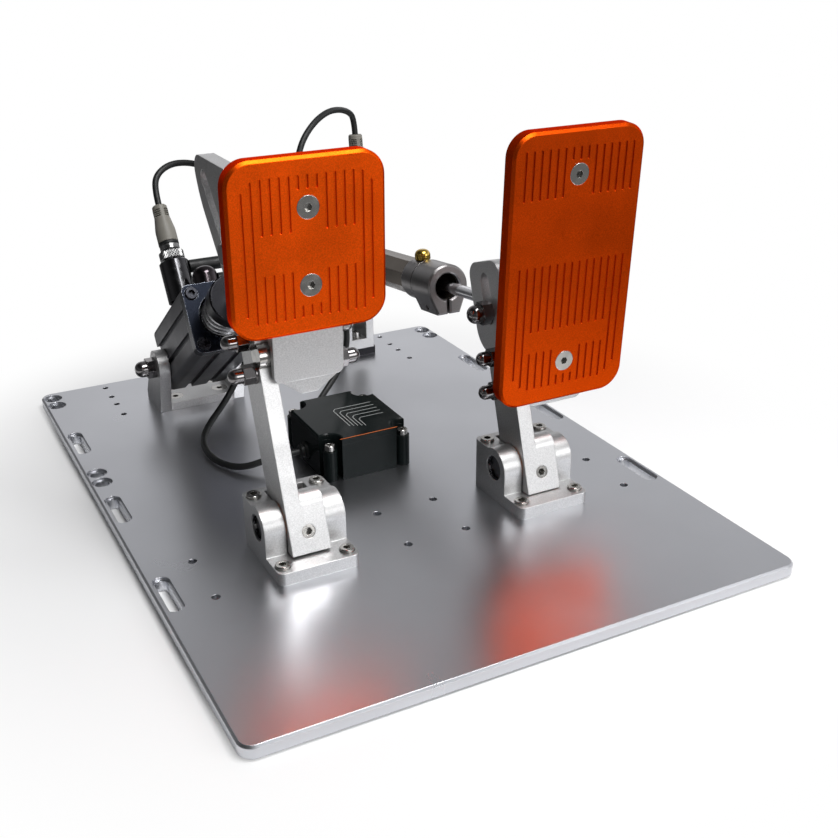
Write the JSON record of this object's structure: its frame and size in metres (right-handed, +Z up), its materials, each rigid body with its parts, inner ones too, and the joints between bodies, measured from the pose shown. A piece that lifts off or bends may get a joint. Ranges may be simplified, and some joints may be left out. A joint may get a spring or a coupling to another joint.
{
  "type": "sim racing pedal set",
  "caption": "Brake and throttle pedals for a racing simulator, with sprung and damped cylinders, sensors, cables and a control box on a flat plate.",
  "frame": {"origin": "centre of the base plate's underside", "axes": "+X to the driver's right, +Y away from the driver along the plate's length, +Z up"},
  "size_m": [0.33, 0.45, 0.2356],
  "materials": {
    "plate_aluminium": "satin anodised",
    "bracket_aluminium": "bead-blasted",
    "arm_aluminium": "bead-blasted",
    "orange_anodised": "satin orange anodised",
    "black_anodised": "satin black anodised",
    "housing_grey": "satin dark grey anodised",
    "end_plate_blue_black": "satin blue-black anodised",
    "tube_bronze": "satin brown anodised",
    "black_screw": "black oxide",
    "steel": "ground",
    "chrome": "polished",
    "spring_steel": "polished",
    "brass": "turned",
    "black_rubber": "matt",
    "orange_plastic": "satin",
    "grey_plastic": "satin",
    "box_black": "gloss",
    "board_green": "satin"
  },
  "bodies": {
    "base": {"base_plate": "plate_aluminium", "brake_bracket": "bracket_aluminium", "throttle_bracket": "bracket_aluminium", "bracket_screws": "chrome", "pivot_bushes": "orange_plastic", "retaining_rings": "steel", "brake_unit_bracket": "bracket_aluminium", "throttle_unit_bracket": "bracket_aluminium", "throttle_bracket_foot": "black_anodised", "rear_foot_screws": "black_screw", "rear_pivot_studs": "chrome", "control_box_body": "box_black", "control_box_lid": "box_black", "control_box_screws": "chrome", "circuit_board": "board_green", "cable_grommets": "black_rubber", "brake_cable": "black_rubber", "throttle_cable": "black_rubber"},
    "brake_pedal": {"brake_arm": "arm_aluminium", "brake_axle": "steel", "brake_pad_mount": "arm_aluminium", "brake_mount_studs": "chrome", "pad_angle_bush": "steel", "brake_pad": "orange_anodised", "brake_pedal_screws": "chrome", "brake_rod_bolt": "chrome"},
    "brake_unit": {"brake_housing": "housing_grey", "brake_end_plate": "end_plate_blue_black", "brake_end_plate_screws": "black_screw", "brake_spring": "spring_steel", "brake_sensor": "steel", "brake_sensor_plug": "grey_plastic", "brake_cable_loop": "black_rubber", "brake_hose": "black_rubber", "hose_fitting": "brass"},
    "brake_rod": {"brake_rod": "chrome", "brake_piston_seal": "black_rubber", "brake_rod_end": "steel", "brake_spring_seat": "black_anodised"},
    "throttle_pedal": {"throttle_arm": "arm_aluminium", "throttle_axle": "steel", "throttle_pad_mount": "arm_aluminium", "throttle_mount_studs": "chrome", "throttle_pad": "orange_anodised", "throttle_pedal_screws": "chrome", "throttle_rod_bolt": "chrome"},
    "throttle_unit": {"throttle_rear_block": "black_anodised", "throttle_tube": "tube_bronze", "throttle_clamp": "bracket_aluminium", "throttle_clamp_screw": "steel", "throttle_o_ring": "black_rubber", "throttle_collar": "bracket_aluminium", "throttle_bleed_screw": "brass", "throttle_spring": "spring_steel", "throttle_sensor": "steel", "throttle_sensor_plug": "grey_plastic", "throttle_cable_loop": "black_rubber"},
    "throttle_rod": {"throttle_rod": "chrome", "throttle_rod_end": "steel"}
  },
  "joints": [
    {"name": "brake_pedal_hinge", "type": "hinge", "parent": "base", "child": "brake_pedal", "pos_m": [-0.0774, -0.078, 0.029], "axis": [-1, 0, 0], "range_deg": [0, 8], "stiffness_Nm_per_rad": 250, "springref_deg": -1.15},
    {"name": "brake_unit_tilt", "type": "hinge", "parent": "base", "child": "brake_unit", "pos_m": [-0.061, 0.152, 0.043], "axis": [-1, 0, 0], "range_deg": [0, 1.1]},
    {"name": "brake_rod_slide", "type": "slide", "parent": "brake_unit", "child": "brake_rod", "axis": [0, 0.8287, -0.5598], "range_m": [0, 0.0212], "deforming": ["brake_spring"]},
    {"name": "throttle_pedal_hinge", "type": "hinge", "parent": "base", "child": "throttle_pedal", "pos_m": [0.0774, -0.078, 0.029], "axis": [-1, 0, 0], "range_deg": [0, 12], "stiffness_Nm_per_rad": 60, "springref_deg": -2.86},
    {"name": "throttle_unit_tilt", "type": "hinge", "parent": "base", "child": "throttle_unit", "pos_m": [0.084, 0.198, 0.089], "axis": [1, 0, 0], "range_deg": [0, 1.5]},
    {"name": "throttle_rod_slide", "type": "slide", "parent": "throttle_unit", "child": "throttle_rod", "axis": [0, 0.9927, -0.1209], "range_m": [0, 0.0195], "deforming": ["throttle_spring"]}
  ],
  "couplings": [
    {"joint": "brake_unit_tilt", "follows": "brake_pedal_hinge", "ratio": 0.13286},
    {"joint": "brake_rod_slide", "follows": "brake_pedal_hinge", "m_per_rad": 0.14822},
    {"joint": "throttle_unit_tilt", "follows": "throttle_pedal_hinge", "ratio": 0.11995},
    {"joint": "throttle_rod_slide", "follows": "throttle_pedal_hinge", "m_per_rad": 0.09015}
  ]
}
